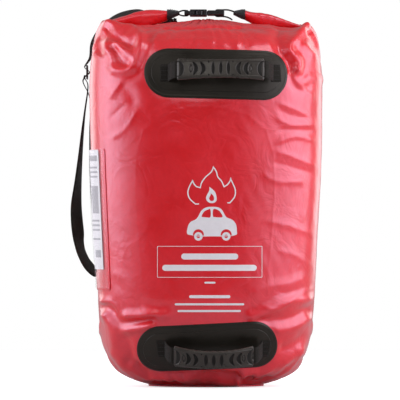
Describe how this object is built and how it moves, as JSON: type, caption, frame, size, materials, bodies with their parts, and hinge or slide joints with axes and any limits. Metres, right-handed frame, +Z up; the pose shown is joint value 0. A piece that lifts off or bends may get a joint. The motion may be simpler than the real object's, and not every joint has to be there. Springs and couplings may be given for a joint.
{
  "type": "packed vehicle fire blanket",
  "caption": "Vehicle-size fire blanket packed in an upright red roll-top carry bag with grab handles, shoulder straps, a card pocket and a side-release buckle.",
  "frame": {"origin": "centre of the flat underside of the base panel", "axes": "+Z up along the bag's height; the front with the two grab handles faces -Y; the card pocket is on the -X side and the shoulder straps hang from the +Y side"},
  "size_m": [0.5576, 0.4829, 0.834],
  "materials": {
    "red_pvc": "gloss",
    "black_pvc": "satin",
    "black_webbing": "matte",
    "grip_rubber": "satin",
    "buckle_plastic": "satin",
    "clear_pvc": "gloss",
    "card_paper": "matte",
    "glass_cloth": "satin",
    "stiff_strip": "satin",
    "print_film": "gloss"
  },
  "bodies": {
    "bag": {"bag_body": "red_pvc", "base_panel": "red_pvc", "collar_roll": "red_pvc", "pocket_border": "red_pvc", "upper_handle_patch": "black_pvc", "upper_handle_cover": "black_pvc", "lower_handle_patch": "black_pvc", "lower_handle_cover": "black_pvc", "strap_top_patch": "black_pvc", "left_strap_patch": "black_pvc", "right_strap_patch": "black_pvc", "upper_handle_tab_left": "black_webbing", "upper_handle_tab_right": "black_webbing", "lower_handle_tab_left": "black_webbing", "lower_handle_tab_right": "black_webbing", "left_strap_lower_tab": "black_webbing", "right_strap_lower_tab": "black_webbing", "strap_top_tab_left": "black_webbing", "strap_top_tab_right": "black_webbing", "blanket_pull_loop_left": "black_webbing", "blanket_pull_loop_right": "black_webbing", "left_strap_ring": "buckle_plastic", "right_strap_ring": "buckle_plastic", "pocket_window": "clear_pvc", "fire_blanket": "glass_cloth", "collar_stiffener": "stiff_strip", "printed_film": "print_film"},
    "closure_hoop": {"collar_arm_left": "red_pvc", "collar_arm_right": "red_pvc", "arm_stiffener_left": "stiff_strip", "arm_stiffener_right": "stiff_strip", "collar_end_left": "black_webbing", "collar_end_right": "black_webbing", "buckle_webbing_left": "black_webbing", "buckle_webbing_right": "black_webbing", "buckle_socket": "buckle_plastic"},
    "buckle_plug_body": {"buckle_plug": "buckle_plastic"},
    "prong_front": {"buckle_prong_front": "buckle_plastic"},
    "prong_back": {"buckle_prong_back": "buckle_plastic"},
    "upper_handle": {"upper_handle_webbing": "black_webbing", "upper_handle_grip": "grip_rubber"},
    "lower_handle": {"lower_handle_webbing": "black_webbing", "lower_handle_grip": "grip_rubber"},
    "left_strap": {"left_strap_webbing": "black_webbing", "left_strap_slider": "buckle_plastic"},
    "right_strap": {"right_strap_webbing": "black_webbing", "right_strap_slider": "buckle_plastic"},
    "card": {"instruction_card": "card_paper"}
  },
  "joints": [
    {"name": "closure_hoop_swing", "type": "hinge", "parent": "bag", "child": "closure_hoop", "pos_m": [0, 0.01, 0.7865], "axis": [1, 0, 0], "range_deg": [-15, 15], "deforming": ["buckle_webbing_right"]},
    {"name": "buckle_release", "type": "slide", "parent": "closure_hoop", "child": "buckle_plug_body", "axis": [1, 0, 0], "range_m": [0, 0.03], "deforming": ["collar_end_right"]},
    {"name": "prong_front_squeeze", "type": "hinge", "parent": "buckle_plug_body", "child": "prong_front", "pos_m": [0.0048, -0.005, 0.82], "axis": [0, 0, -1], "range_deg": [0, 7], "stiffness_Nm_per_rad": 0.5, "deforming": ["buckle_prong_front"]},
    {"name": "prong_back_squeeze", "type": "hinge", "parent": "buckle_plug_body", "child": "prong_back", "pos_m": [0.0048, 0.025, 0.82], "axis": [0, 0, 1], "range_deg": [0, 7], "stiffness_Nm_per_rad": 0.5, "deforming": ["buckle_prong_back"]},
    {"name": "upper_handle_swing", "type": "hinge", "parent": "bag", "child": "upper_handle", "pos_m": [0, -0.19114, 0.68329], "axis": [1, 0, 0], "range_deg": [-40, 40], "deforming": ["upper_handle_webbing"]},
    {"name": "lower_handle_swing", "type": "hinge", "parent": "bag", "child": "lower_handle", "pos_m": [0, -0.17246, 0.08534], "axis": [1, 0, 0], "range_deg": [-40, 40], "deforming": ["lower_handle_webbing"]},
    {"name": "left_strap_swing", "type": "hinge", "parent": "bag", "child": "left_strap", "pos_m": [-0.079, 0.166, 0.753], "axis": [-0.2645, -0.0893, -0.9602], "range_deg": [0, 60], "deforming": ["left_strap_webbing"]},
    {"name": "right_strap_swing", "type": "hinge", "parent": "bag", "child": "right_strap", "pos_m": [0.079, 0.166, 0.753], "axis": [-0.2356, 0.0478, 0.9707], "range_deg": [-20, 45], "deforming": ["right_strap_webbing"]},
    {"name": "card_slide", "type": "slide", "parent": "bag", "child": "card", "axis": [-0.0425, 0, 0.9991], "range_m": [0, 0.2]}
  ]
}
